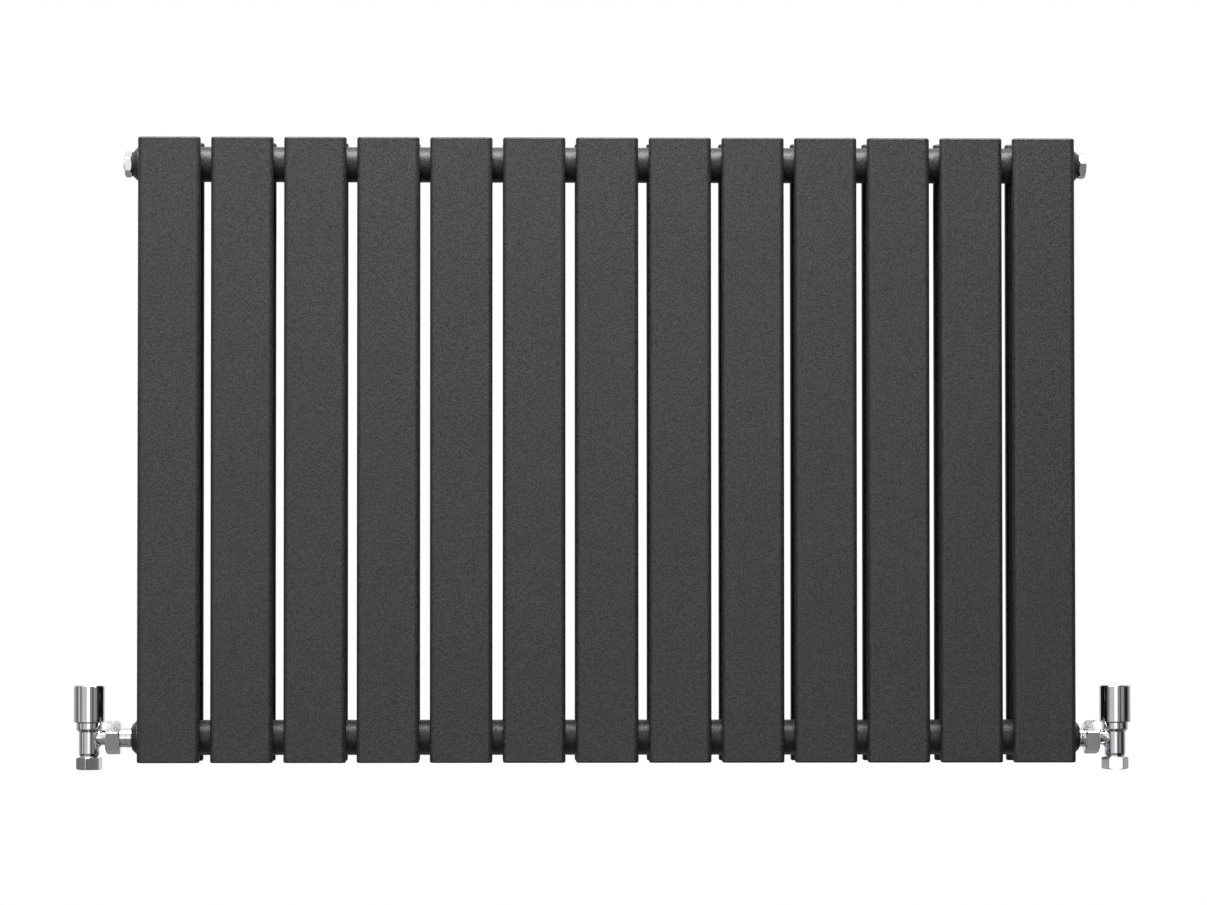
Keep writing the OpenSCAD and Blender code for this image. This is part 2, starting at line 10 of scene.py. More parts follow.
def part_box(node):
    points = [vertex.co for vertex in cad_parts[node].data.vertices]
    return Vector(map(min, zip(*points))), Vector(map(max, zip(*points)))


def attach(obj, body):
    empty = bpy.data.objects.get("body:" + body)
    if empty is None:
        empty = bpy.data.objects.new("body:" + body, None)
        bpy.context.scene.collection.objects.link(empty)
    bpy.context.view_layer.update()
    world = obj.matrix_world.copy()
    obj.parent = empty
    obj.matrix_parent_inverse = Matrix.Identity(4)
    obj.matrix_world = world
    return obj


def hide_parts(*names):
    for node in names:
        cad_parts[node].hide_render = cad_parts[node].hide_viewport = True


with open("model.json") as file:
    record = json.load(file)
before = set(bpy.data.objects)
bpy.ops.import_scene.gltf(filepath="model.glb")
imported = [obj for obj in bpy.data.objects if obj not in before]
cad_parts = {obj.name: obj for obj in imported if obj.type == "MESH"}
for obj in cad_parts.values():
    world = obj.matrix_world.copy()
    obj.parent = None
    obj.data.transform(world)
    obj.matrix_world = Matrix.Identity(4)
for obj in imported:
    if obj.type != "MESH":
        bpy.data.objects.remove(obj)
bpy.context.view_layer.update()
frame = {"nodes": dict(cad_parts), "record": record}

# ---------------------------------------------------------------- places and sizes
# Every piece is built in millimetres about a local origin, then scaled and moved into the frame.
# Places in the frame are in metres; all other lengths are in millimetres. A name's ending says what
# it measures: R a radius, T a thickness, H a height, L a length, W a width, AF a width across flats.

MM = 0.001
ORIGIN = Vector((0, 0, 0))
PANEL_T = 11.0
PANEL_EDGE_R = 5.0
THREAD_R = 10.45
PANELS = sum(node.startswith("front_panel_") for node in frame["nodes"])


def middle(node):
    """Centre of a node's box, in metres."""
    low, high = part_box(node)
    return (Vector(low) + Vector(high)) / 2


def size_mm(node):
    """Width, depth and height of a node's box, in millimetres."""
    low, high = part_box(node)
    return (Vector(high) - Vector(low)) / MM


# header_mid, row_mid_y and valve_axis are places; boss_face is how far a boss reaches from the middle.
header_mid = {"bottom": middle("bottom_header"), "top": middle("top_header")}
header_r = size_mm("bottom_header").z / 2
header_half_l = size_mm("bottom_header").x / 2
panel_w = size_mm("front_panel_01").x
tube_half_h = size_mm("front_panel_01").z / 2
cap_t = size_mm("top_end_caps").z
row_mid_y = {"front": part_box("front_panel_01")[0][1] + PANEL_T * MM / 2,
             "rear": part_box("rear_panel_01")[1][1] - PANEL_T * MM / 2}
boss_face = (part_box("header_bosses")[1][0] - header_mid["bottom"].x) / MM
valve_axis = {side: Vector((middle(head).x, header_mid["bottom"].y, header_mid["bottom"].z))
              for side, head in (("left", "left_handwheel"), ("right", "right_lockshield_cap"))}

# ---------------------------------------------------------------- shader nodes

EVEN = (1.0, 1.0, 1.0)
# Sockets of a mix node, whose names repeat for each kind of data.
MIX_FACTOR, MIX_FIRST, MIX_SECOND, MIX_RESULT = 0, 6, 7, 2


def new_material(name):
    """A material with a Principled shader; returns the material, its tree and the shader."""
    material = bpy.data.materials.new(name)
    material.use_nodes = True
    tree = material.node_tree
    return material, tree, tree.nodes["Principled BSDF"]


def set_inputs(tree, node, inputs):
    """Sets a node's inputs; an input whose value is a socket is linked to it."""
    for key, value in inputs.items():
        if isinstance(value, bpy.types.NodeSocket):
            tree.links.new(value, node.inputs[key])
        else:
            node.inputs[key].default_value = value


def add_node(tree, kind, inputs, **settings):
    """A new node with its properties and inputs set."""
    node = tree.nodes.new(kind)
    for key, value in settings.items():
        setattr(node, key, value)
    set_inputs(tree, node, inputs)
    return node


def grain(tree, scale, detail=2.0, stretch=EVEN):
    """Noise fixed to the object, with scale in cells per metre."""
    place = add_node(tree, "ShaderNodeTexCoord", {}).outputs["Object"]
    if stretch != EVEN:
        place = add_node(tree, "ShaderNodeMapping", {"Vector": place, "Scale": stretch}).outputs["Vector"]
    inputs = {"Vector": place, "Scale": scale, "Detail": detail}
    return add_node(tree, "ShaderNodeTexNoise", inputs).outputs["Fac"]


def spread(tree, value, low, high, from_low=0.3, from_high=0.7):
    """Maps noise, which lies mostly between 0.3 and 0.7, to a range."""
    inputs = {"Value": value, "From Min": from_low, "From Max": from_high, "To Min": low, "To Max": high}
    return add_node(tree, "ShaderNodeMapRange", inputs).outputs["Result"]


def blend(tree, factor, first, second, kind="MIX"):
    """Mix of two colours, each a socket or red, green and blue."""

    def opaque(colour):
        return colour if isinstance(colour, bpy.types.NodeSocket) else (*colour, 1.0)

    inputs = {MIX_FACTOR: factor, MIX_FIRST: opaque(first), MIX_SECOND: opaque(second)}
    return add_node(tree, "ShaderNodeMix", inputs, data_type="RGBA", blend_type=kind).outputs[MIX_RESULT]


def tint(tree, pattern, dark, light):
    """Colour that follows a noise pattern from dark to light."""
    return blend(tree, spread(tree, pattern, 0.0, 1.0), dark, light)


def relief(tree, height, depth_mm, under=None):
    """Bump of a real depth, on top of another bump where one is given."""
    inputs = {"Height": height, "Distance": depth_mm * MM, "Strength": 1.0}
    if under is not None:
        inputs["Normal"] = under
    return add_node(tree, "ShaderNodeBump", inputs).outputs["Normal"]


# ---------------------------------------------------------------- materials


def powder_coat():
    """Matt anthracite with a fine sandy texture and a slight orange peel under it."""
    material, tree, shader = new_material("powder_coat_anthracite")
    sand = grain(tree, 800)
    cloud = grain(tree, 260, detail=3.0)
    broad = grain(tree, 9, detail=3.0)
    speckle = spread(tree, sand, 0.0, 1.0, from_low=0.42, from_high=0.58)
    speckled = blend(tree, speckle, (0.002, 0.002, 0.0021), (0.036, 0.036, 0.0367))
    shade = {"Color": speckled, "Value": spread(tree, broad, 0.93, 1.07)}
    set_inputs(tree, shader, {
        "Base Color": add_node(tree, "ShaderNodeHueSaturation", shade).outputs["Color"],
        "Roughness": spread(tree, cloud, 0.36, 0.46),
        "Specular IOR Level": 0.65,
        "Normal": relief(tree, sand, 0.26, under=relief(tree, cloud, 0.025)),
    })
    return material


def chrome(name="chrome_plate", dull=0.0, pits=0.0):
    """Polished chrome plate with hairline scratches, faint waviness and touch marks. dull adds
    roughness and pits adds a fine uneven grain of that depth, as on a nut cut from bar and plated."""
    material, tree, shader = new_material(name)
    smudge = grain(tree, 90, detail=4.0)
    hair = grain(tree, 500, stretch=(1.0, 1.0, 0.05))
    wave = grain(tree, 45, detail=1.0)
    normal = relief(tree, hair, 0.003, under=relief(tree, wave, 0.02))
    if pits:
        normal = relief(tree, grain(tree, 900), pits, under=normal)
    set_inputs(tree, shader, {
        "Base Color": tint(tree, smudge, (0.80, 0.81, 0.83), (0.88, 0.885, 0.90)),
        "Roughness": spread(tree, smudge, 0.05 + dull, 0.12 + dull),
        "Metallic": 1.0,
        "Normal": normal,
    })
    return material


def brass():
    """Machined brass with turning marks and slight tarnish."""
    material, tree, shader = new_material("machined_brass")
    tarnish = grain(tree, 120, detail=4.0)
    marks = grain(tree, 300, detail=1.0, stretch=(0.05, 0.05, 12.0))
    set_inputs(tree, shader, {
        "Base Color": tint(tree, tarnish, (0.52, 0.36, 0.13), (0.78, 0.60, 0.28)),
        "Roughness": spread(tree, tarnish, 0.38, 0.2),
        "Metallic": 1.0,
        "Normal": relief(tree, marks, 0.01),
    })
    return material


def zinc():
    """Bright zinc plate, a little blotchy."""
    material, tree, shader = new_material("zinc_plate")
    blotch = grain(tree, 220, detail=4.0)
    set_inputs(tree, shader, {
        "Base Color": tint(tree, blotch, (0.52, 0.53, 0.55), (0.70, 0.71, 0.74)),
        "Roughness": spread(tree, blotch, 0.42, 0.26),
        "Metallic": 1.0,
        "Normal": relief(tree, blotch, 0.012),
    })
    return material


def rubber():
    """Moulded black rubber."""
    material, tree, shader = new_material("black_rubber")
    mould = grain(tree, 1800, detail=3.0)
    set_inputs(tree, shader, {
        "Base Color": tint(tree, mould, (0.012, 0.012, 0.012), (0.030, 0.030, 0.031)),
        "Roughness": spread(tree, mould, 0.55, 0.75),
        "Normal": relief(tree, mould, 0.02),
    })
    return material


def bracket_paint():
    """Satin black paint on pressed steel."""
    material, tree, shader = new_material("bracket_black_paint")
    peel = grain(tree, 420, detail=3.0)
    broad = grain(tree, 30)
    set_inputs(tree, shader, {
        "Base Color": tint(tree, broad, (0.020, 0.020, 0.021), (0.036, 0.036, 0.037)),
        "Roughness": spread(tree, peel, 0.32, 0.46),
        "Normal": relief(tree, peel, 0.04),
    })
    return material


def floor_paper():
    """Pale matt studio floor, lit a little from within so that it stays pale at any angle."""
    material, tree, shader = new_material("pale_floor")
    paper = tint(tree, grain(tree, 60, detail=3.0), (0.83, 0.83, 0.835), (0.86, 0.86, 0.865))
    set_inputs(tree, shader, {"Base Color": paper, "Emission Color": paper, "Emission Strength": 0.8,
                              "Roughness": 0.85})
    return material


FINISH = {
    "coat": powder_coat(),
    "chrome": chrome(),
    "plated_nut": chrome("chrome_plated_nut", dull=0.06, pits=0.012),
    "brass": brass(),
    "zinc": zinc(),
    "rubber": rubber(),
    "bracket_paint": bracket_paint(),
}

# ---------------------------------------------------------------- shapes

ARC_STEP = math.radians(12)
MERGE_DISTANCE = 1e-4
HEX_CORNER_R = 0.5
HEX_FLAT_PARTS = 8
CHAMFER_SLOPE = 0.7
BEVEL_ANGLE = math.radians(30)
ALONG_X = Matrix.Rotation(math.radians(90), 4, "Y")
HALF_TURN = Matrix.Rotation(math.pi, 4, "Z")
FLIP_X = Matrix.Scale(-1, 4, (1, 0, 0))


def turns(steps):
    """Evenly spaced angles round a full turn."""
    return [2 * math.pi * k / steps for k in range(steps)]


def along_arc(start, end, sweep, share):
    """Point a share of the way round the arc from start to end, both seen from the arc's centre."""
    return (start * math.sin((1 - share) * sweep) + end * math.sin(share * sweep)) / math.sin(sweep)


def rounded(corners):
    """Closed outline through (x, y, radius) corners, with an arc at each corner that has a radius."""
    points = []
    for i, (x, y, radius) in enumerate(corners):
        here = Vector((x, y))
        if radius <= 0:
            points.append(here)
            continue
        back = (Vector(corners[i - 1][:2]) - here).normalized()
        on = (Vector(corners[(i + 1) % len(corners)][:2]) - here).normalized()
        opening = back.angle(on)
        hub = here + (back + on).normalized() * radius / math.sin(opening / 2)
        reach = radius / math.tan(opening / 2)
        start, end = here + back * reach - hub, here + on * reach - hub
        sweep = math.pi - opening
        steps = max(2, math.ceil(sweep / ARC_STEP))
        points += [hub + along_arc(start, end, sweep, k / steps) for k in range(steps + 1)]
    return points


def skin(rings, closed=False):
    """Closed mesh over rings of points, all of one length, joined with quads. closed joins the last
    ring to the first; otherwise both ends get a flat face."""
    bm = bmesh.new()
    made = [[bm.verts.new(p) for p in ring] for ring in rings]
    pairs = list(zip(made, made[1:]))
    if closed:
        pairs.append((made[-1], made[0]))
    for lower, upper in pairs:
        n = len(lower)
        for i in range(n):
            bm.faces.new((lower[i], lower[(i + 1) % n], upper[(i + 1) % n], upper[i]))
    if not closed:
        bm.faces.new(list(reversed(made[0])))
        bm.faces.new(made[-1])
    bmesh.ops.remove_doubles(bm, verts=bm.verts, dist=MERGE_DISTANCE)
    bmesh.ops.dissolve_degenerate(bm, dist=MERGE_DISTANCE, edges=bm.edges)
    bmesh.ops.recalc_face_normals(bm, faces=bm.faces)
    return bm


def lathe(outline, steps=96):
    """Turns a closed (radius, height) outline about Z."""
    around = turns(steps)
    return skin([[(r * math.cos(a), r * math.sin(a), z) for a in around] for r, z in outline], closed=True)


def hexagon(af):
    """Points round a hexagon across flats af, with rounded corners and points along the flats."""
    corner_r = af / math.sqrt(3)
    outline = rounded([(corner_r * math.cos(a), corner_r * math.sin(a), HEX_CORNER_R) for a in turns(6)])
    points = []
    for here, after in zip(outline, outline[1:] + outline[:1]):
        parts = HEX_FLAT_PARTS if (after - here).length > HEX_CORNER_R * 2 else 1
        points += [here.lerp(after, k / parts) for k in range(parts)]
    return points


def hex_bar(af, low, high, chamfer, bore=0.0, bore_low=None, turn=0.0):
    """Hexagonal nut or head along Z with coned ends. bore_low is the bore at the low end."""
    circle = af / math.sqrt(3) - chamfer
    spin = Matrix.Rotation(math.radians(turn), 2)
    columns = [spin @ p for p in hexagon(af)]

    def ring(radius, z):
        return [(*(p.normalized() * min(radius, p.length)), z) for p in columns]

    def flank(z, sign):
        return [(p.x, p.y, z + sign * max(0.0, p.length - circle) * CHAMFER_SLOPE) for p in columns]

    low_bore = bore if bore_low is None else bore_low
    return skin([ring(low_bore, low), ring(circle, low), flank(low, 1), flank(high, -1), ring(circle, high),
                 ring(bore, high)], closed=True)


def join(parts):
    """One mesh of several closed shells."""
    whole = bmesh.new()
    for part in parts:
        mesh = bpy.data.meshes.new("part")
        part.to_mesh(mesh)
        part.free()
        whole.from_mesh(mesh)
        bpy.data.meshes.remove(mesh)
    return whole


def placed(bm, matrix):
    """Moves a mesh, and keeps its faces outwards where the matrix mirrors."""
    bm.transform(matrix)
    if matrix.determinant() < 0:
        bmesh.ops.reverse_faces(bm, faces=bm.faces)
    return bm


def piece(name, bm, at, body, slot, nodes, bevel=0.0, sharp=32.0, matrix=None, finish=None):
    """Puts a mesh built in millimetres into the frame, as a piece that stands for CAD nodes. Edges
    up to sharp degrees are shaded smooth, and finish is the material if it isn't the slot's own."""
    if matrix is not None:
        placed(bm, matrix)
    bm.transform(Matrix.Translation(at) @ Matrix.Scale(MM, 4))
    for edge in bm.edges:
        edge.smooth = len(edge.link_faces) == 2 and edge.calc_face_angle(0) < math.radians(sharp)
    for face in bm.faces:
        face.smooth = True
    mesh = bpy.data.meshes.new(name)
    bm.to_mesh(mesh)
    bm.free()
    obj = bpy.data.objects.new(name, mesh)
    bpy.context.scene.collection.objects.link(obj)
    mesh.materials.append(FINISH[finish or slot])
    if bevel:
        soften(obj, bevel)
    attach(obj, body)
    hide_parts(*nodes)
    return obj


def soften(obj, width_mm):
    """Rounds an object's sharp edges a little, so that they catch the light."""
    edge = obj.modifiers.new("soft_edges", "BEVEL")
    edge.width = width_mm * MM
    edge.segments = 2
    edge.limit_method = "ANGLE"
    edge.angle_limit = BEVEL_ANGLE
    edge.harden_normals = True
    edge.use_clamp_overlap = True


def weigh_normals(obj):
    """Keeps large flats flat in the shading, next to their rounded edges."""
    weigh = obj.modifiers.new("flat_faces", "WEIGHTED_NORMAL")
    weigh.keep_sharp = True


# ---------------------------------------------------------------- panels

# SEAM is the fine bevel that leaves a hairline between a flat tube and its end caps.
SEAM = 0.14
CAP_ROUND = 1.8
CAP_ARC_STEPS = 6
STUB_R = 9.0
STUB_STEPS = 60
STUB_ROWS = 8
STUB_INTO_PANEL = 0.2
STUB_INTO_HEADER = 0.3
# A weld widens the stub by WELD_FLARE at each end, with WELD_WAVES ripples round it.
WELD_FLARE = 1.5
WELD_FLARE_POWER = 1.5
WELD_RIPPLE = 0.16
WELD_WAVES = 15
WELD_SHIFT = 1.7


def loft(levels):
    """Closed upright shape from (height, inset) levels of the panel's outline."""
    rings = []
    for z, inset in levels:
        w, d, r = panel_w / 2 - inset, PANEL_T / 2 - inset, PANEL_EDGE_R - inset
        outline = rounded([(w, d, r), (-w, d, r), (-w, -d, r), (w, -d, r)])
        rings.append([(p.x, p.y, z) for p in outline])
    return skin(rings)


def stub(towards, shift):
    """Short pipe from a panel's inner face (y = 0) to the header, with a rippled weld at both ends.
    towards is its way along Y, +1 or -1, and shift moves the ripples round."""
    gap = abs(header_mid["bottom"].y - row_mid_y["front"]) / MM - PANEL_T / 2
    rings = []
    for row in range(STUB_ROWS + 1):
        share = row / STUB_ROWS
        flare = abs(2 * share - 1) ** WELD_FLARE_POWER
        ring = []
        for a in turns(STUB_STEPS):
            ripple = WELD_RIPPLE * math.sin(WELD_WAVES * a + 2 * math.sin(3 * a + shift))
            r = STUB_R + flare * (WELD_FLARE + ripple)
            x, z = r * math.cos(a), r * math.sin(a)
            length = gap - math.sqrt(header_r ** 2 - z ** 2) + STUB_INTO_PANEL + STUB_INTO_HEADER
            ring.append((x, towards * (length * share - STUB_INTO_PANEL), z))
        rings.append(ring)
    return skin(rings)


def make_panels():
    """Each flat tube with its two stubs, front row first."""
    levels = [(-tube_half_h, SEAM), (-tube_half_h + SEAM, 0), (tube_half_h - SEAM, 0), (tube_half_h, SEAM)]
    for row, towards in (("front", 1), ("rear", -1)):
        for i in range(1, PANELS + 1):
            node = f"{row}_panel_{i:02d}"
            parts = [loft(levels)]
            for end, side in (("bottom", -1), ("top", 1)):
                face = Vector((0, towards * PANEL_T / 2, header_mid[end].z / MM))
                parts.append(placed(stub(towards, i * WELD_SHIFT + side + towards), Matrix.Translation(face)))
            at = Vector((middle(node).x, row_mid_y[row], 0))
            obj = piece(f"{row}_tube_{i:02d}", join(parts), at, "radiator", "coat", [node], sharp=40)
            weigh_normals(obj)


def make_end_caps():
    """The caps of both rows, with a rounded outer edge."""
    arc = [math.pi / 2 * k / CAP_ARC_STEPS for k in range(1, CAP_ARC_STEPS + 1)]
    shoulder = cap_t - CAP_ROUND
    levels = [(0, SEAM), (SEAM, 0), (shoulder, 0)]
    levels += [(shoulder + CAP_ROUND * math.sin(a), CAP_ROUND * (1 - math.cos(a))) for a in arc]
    for end, sign in (("top", 1), ("bottom", -1)):
        node = f"{end}_end_caps"
        upright = Matrix.Scale(sign, 4, (0, 0, 1))
        caps = []
        for i in range(1, PANELS + 1):
            x = middle(f"front_panel_{i:02d}").x / MM
            for mid_y in row_mid_y.values():
                cap = placed(loft(levels), upright)
                caps.append(placed(cap, Matrix.Translation((x, mid_y / MM, sign * tube_half_h))))
        obj = piece(f"{node}_round", join(caps), ORIGIN, "radiator", "coat", [node], sharp=50)
        weigh_normals(obj)


# ---------------------------------------------------------------- headers

BOSS_CHAMFER = 5.0
BOSS_SPIGOT_L = 3.0
BOSS_SPIGOT_GAP = 0.3


def make_headers():
    """The two round tubes between the rows."""
    outline = [(0, -header_half_l), (header_r, -header_half_l), (header_r, header_half_l), (0, header_half_l)]
    for end in ("top", "bottom"):
        tube = placed(lathe(outline), ALONG_X)
        piece(f"{end}_header_tube", tube, header_mid[end], "radiator", "coat", [f"{end}_header"], sharp=40)


def make_bosses():
    """Threaded bosses, each with a spigot in the header's end and a turned cone outside."""
    spigot_r, spigot_end = header_r - BOSS_SPIGOT_GAP, header_half_l - BOSS_SPIGOT_L
    outline = rounded([
        (THREAD_R, spigot_end, 0), (spigot_r, spigot_end, 0), (header_r, header_half_l, 0.4),
        (header_r, boss_face - BOSS_CHAMFER, 0.8), (header_r - BOSS_CHAMFER, boss_face, 0.5),
        (THREAD_R, boss_face, 0.3)])
    parts = []
    for end in ("top", "bottom"):
        for way in (ALONG_X, FLIP_X @ ALONG_X):
            parts.append(placed(lathe(outline), Matrix.Translation(header_mid[end] / MM) @ way))
    piece("header_bosses_turned", join(parts), ORIGIN, "radiator", "coat", ["header_bosses"], bevel=0.2)


# ---------------------------------------------------------------- valves
# In a valve, Z runs up its axis from the level of the header and X runs from the axis to the radiator.

VALVE_WAY = {"left": Matrix.Identity(4), "right": HALF_TURN}
BODY_R = 10.0
INLET_R = 9.0
SEAT_R = 12.5
SEAT_LOW = 8.0
BONNET_BORE_R = 9.0
BONNET_BORE_L = 4.0
NECK_R = 7.25
NECK_FILLET = 3.4
NECK_STEPS = 72
NECK_ARC_ROWS = 9
# The neck's first ring is drawn in towards the middle of the body, so that its end is hidden.
NECK_ROOT = Matrix.Diagonal((0.5, 0.8, 0.8))
UNION_LOW_X, UNION_HIGH_X = 16.3, 30.3
UNION_THREAD_R = 13.15
UNION_THREAD_X = 25.0


def in_valve(side, node):
    """Lowest and highest corner of a node, in millimetres from the valve's origin."""
    low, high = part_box(node)
    return (Vector(low) - valve_axis[side]) / MM, (Vector(high) - valve_axis[side]) / MM


def branch(rings):
    """The neck that grows out of the upright body along +X with a rolling-ball fillet.
    rings are the (x, radius) steps that follow it."""
    ball_r = BODY_R + NECK_FILLET
    around = turns(NECK_STEPS)
    flare = []
    for row in range(NECK_ARC_ROWS + 1):
        ring = []
        for a in around:
            y, z = (NECK_R + NECK_FILLET) * math.sin(a), (NECK_R + NECK_FILLET) * math.cos(a)
            hub = Vector((math.sqrt(ball_r ** 2 - y ** 2), y, z))
            on_body = Vector((hub.x * BODY_R / ball_r, y * BODY_R / ball_r, z))
            on_neck = Vector((hub.x, NECK_R * math.sin(a), NECK_R * math.cos(a)))
            start, end = on_body - hub, on_neck - hub
            ring.append(hub + along_arc(start, end, start.angle(end), row / NECK_ARC_ROWS))
        flare.append(ring)
    root = [NECK_ROOT @ p for p in flare[0]]
    plain = [[(x, r * math.sin(a), r * math.cos(a)) for a in around] for x, r in rings]
    return skin([root, *flare, *plain])


def make_valve_body(side):
    """The body, from the pipe's inlet up to the seat of the head, and its neck with the union thread."""
    node = f"{side}_valve_body"
    low, high = in_valve(side, node)
    nut_top = in_valve(side, "compression_nuts")[1].z
    bore_end = high.z - BONNET_BORE_L
    upright = lathe(rounded([
        (0, low.z, 0), (INLET_R, low.z, 0), (INLET_R, nut_top + 0.6, 0.6), (BODY_R, nut_top + 3.5, 1.5),
        (BODY_R, SEAT_LOW - SEAT_R + BODY_R, 0.8), (SEAT_R, SEAT_LOW, 0.7), (SEAT_R, high.z, 0.6),
        (BONNET_BORE_R, high.z, 0.3), (BONNET_BORE_R, bore_end, 0), (0, bore_end, 0)]))
    neck = branch([
        (UNION_LOW_X - 0.6, NECK_R), (UNION_LOW_X, NECK_R + 0.15), (UNION_LOW_X + 0.6, NECK_R + 0.9),
        (UNION_LOW_X + 0.6, UNION_THREAD_R), (UNION_THREAD_X, UNION_THREAD_R)])
    piece(f"{side}_angle_body", join([upright, neck]), valve_axis[side], "radiator", "chrome", [node],
          sharp=28, matrix=VALVE_WAY[side])


UNION_NUT = {"af": 29.0, "chamfer": 2.4, "bore": 9.8, "bore_low": 13.2}
UNION_TURN = {"left": 13.0, "right": 47.0}
COMPRESSION_NUT = {"af": 22.5, "chamfer": 1.7, "bore": 9.05, "bore_low": 7.6}
COMPRESSION_TURN = {"left": 21.0, "right": 55.0}


def make_nuts():
    """Union nuts and compression nuts, each turned in degrees to where it was tightened."""
    unions, compressions = [], []
    for side in ("left", "right"):
        home = Matrix.Translation(valve_axis[side] / MM) @ VALVE_WAY[side]
        nut = hex_bar(low=UNION_LOW_X, high=UNION_HIGH_X, turn=UNION_TURN[side], **UNION_NUT)
        unions.append(placed(nut, home @ ALONG_X))
        low, high = in_valve(side, "compression_nuts")
        nut = hex_bar(low=low.z, high=high.z, turn=COMPRESSION_TURN[side], **COMPRESSION_NUT)
        compressions.append(placed(nut, home))
    piece("union_nuts_polished", join(unions), ORIGIN, "radiator", "chrome", ["union_nuts"], bevel=0.4,
          finish="plated_nut")
    piece("compression_nuts_polished", join(compressions), ORIGIN, "radiator", "chrome", ["compression_nuts"],
          bevel=0.35, finish="plated_nut")


TAIL_BORE_R = 7.5
TAIL_PIPE_R = 9.35
TAIL_COLLAR_R = 9.6
TAIL_NECK_R = 9.0
TAIL_FLANGE_R = 12.6
TAIL_FLANGE_T = 1.4


def make_tailpiece(side):
    """The pipe from the union nut into the header's boss, a little thicker next to the boss."""
    node = f"{side}_tailpiece"
    near, far = sorted(abs(corner.x) for corner in in_valve(side, node))
    boss_x = abs(valve_axis[side].x - header_mid["bottom"].x) / MM - boss_face
    collar_x = (UNION_HIGH_X + boss_x) / 2
    outline = rounded([
        (TAIL_BORE_R, near, 0), (TAIL_FLANGE_R, near, 0.3), (TAIL_FLANGE_R, near + TAIL_FLANGE_T, 0.3),
        (TAIL_PIPE_R, near + 2.2, 0), (TAIL_PIPE_R, collar_x, 0.2), (TAIL_COLLAR_R, collar_x + 0.3, 0.2),
        (TAIL_COLLAR_R, boss_x - 0.8, 0.2), (TAIL_NECK_R, boss_x - 0.5, 0.2), (TAIL_NECK_R, boss_x + 0.5, 0),
        (THREAD_R, boss_x + 1.3, 0), (THREAD_R, far - 1, 0), (THREAD_R - 1, far, 0), (TAIL_BORE_R, far, 0)])
    piece(f"{side}_union_tail", lathe(outline), valve_axis[side], "radiator", "chrome", [node],
          matrix=VALVE_WAY[side] @ ALONG_X)


HEAD_STEPS = 120
HEAD_LOW_EDGE = 0.4
HEAD_CROWN = 1.2
HEAD_CROWN_STEP = 0.4
HEAD_BORE_R = 13.0
WHEEL_TOP_T = 4.9
WHEEL_HUB_R = 6.5
WHEEL_HUB_BELOW = 6.0
WHEEL_SPINDLE_R = 2.8
BADGE_GAP = 0.3
CAP_TOP_T = 3.0
CAP_LIP_R = 12.4
CAP_LIP_H = 4.0


def make_head(name, node, body, low, high, inside):
    """Head of a valve with a stepped crown. inside are the corners that close its outline."""
    radius = (high.x - low.x) / 2
    outline = rounded([
        (radius - HEAD_LOW_EDGE, low.z, 0), (radius, low.z + HEAD_LOW_EDGE, 0.3),
        (radius, high.z - HEAD_CROWN, 0.25), (radius - HEAD_CROWN_STEP, high.z - HEAD_CROWN_STEP, 0.25),
        (radius - HEAD_CROWN, high.z, 0.15), *inside])
    side = node.split("_")[0]
    piece(name, lathe(outline, HEAD_STEPS), valve_axis[side], body, "chrome", [node], sharp=28)


def make_handwheel():
    """The left head, which turns on its spindle, and the disc that hides its screw."""
    low, high = in_valve("left", "left_handwheel")
    badge_low, badge_high = in_valve("left", "left_handwheel_cap")
    badge_r = (badge_high.x - badge_low.x) / 2
    hub_low = in_valve("left", "left_spindle")[1].z - WHEEL_HUB_BELOW
    ceiling = high.z - WHEEL_TOP_T
    make_head("left_wheel_shell", "left_handwheel", "left_wheel", low, high, [
        (badge_r + BADGE_GAP, high.z, 0.2), (badge_r + BADGE_GAP, badge_low.z, 0),
        (WHEEL_SPINDLE_R, badge_low.z, 0), (WHEEL_SPINDLE_R, hub_low, 0), (WHEEL_HUB_R, hub_low, 0.5),
        (WHEEL_HUB_R, ceiling, 0.5), (HEAD_BORE_R, ceiling, 1), (HEAD_BORE_R, low.z, 0.3)])
    disc = rounded([(0, badge_low.z, 0), (badge_r, badge_low.z, 0), (badge_r, badge_high.z, 0.5),
                    (0, badge_high.z, 0)])
    piece("left_wheel_disc", lathe(disc), valve_axis["left"], "left_wheel", "chrome", ["left_handwheel_cap"],
          sharp=28)


def make_lockshield_cap():
    """The right head, a plain cap with a lip that grips the bonnet."""
    low, high = in_valve("right", "right_lockshield_cap")
    ceiling, lip_top = high.z - CAP_TOP_T, low.z + CAP_LIP_H
    make_head("right_cap_shell", "right_lockshield_cap", "right_cap", low, high, [
        (0, high.z, 0), (0, ceiling, 0), (HEAD_BORE_R, ceiling, 1.5), (HEAD_BORE_R, lip_top, 0),
        (CAP_LIP_R, lip_top, 0), (CAP_LIP_R, low.z, 0.3)])


# ---------------------------------------------------------------- upper plugs

PLUG_STEPS = 72
PLUG_SEAL_T = 1.2
PLUG_OVERLAP = 0.2
PLUG_HEAD_AF = 22.0
PLUG_HEAD_T = 6.8
PLUG_HEAD_CHAMFER = 1.8
PLUG_INTO_BOSS = 2.0
BLEED_TURN = 8
BLANK_TURN = 22


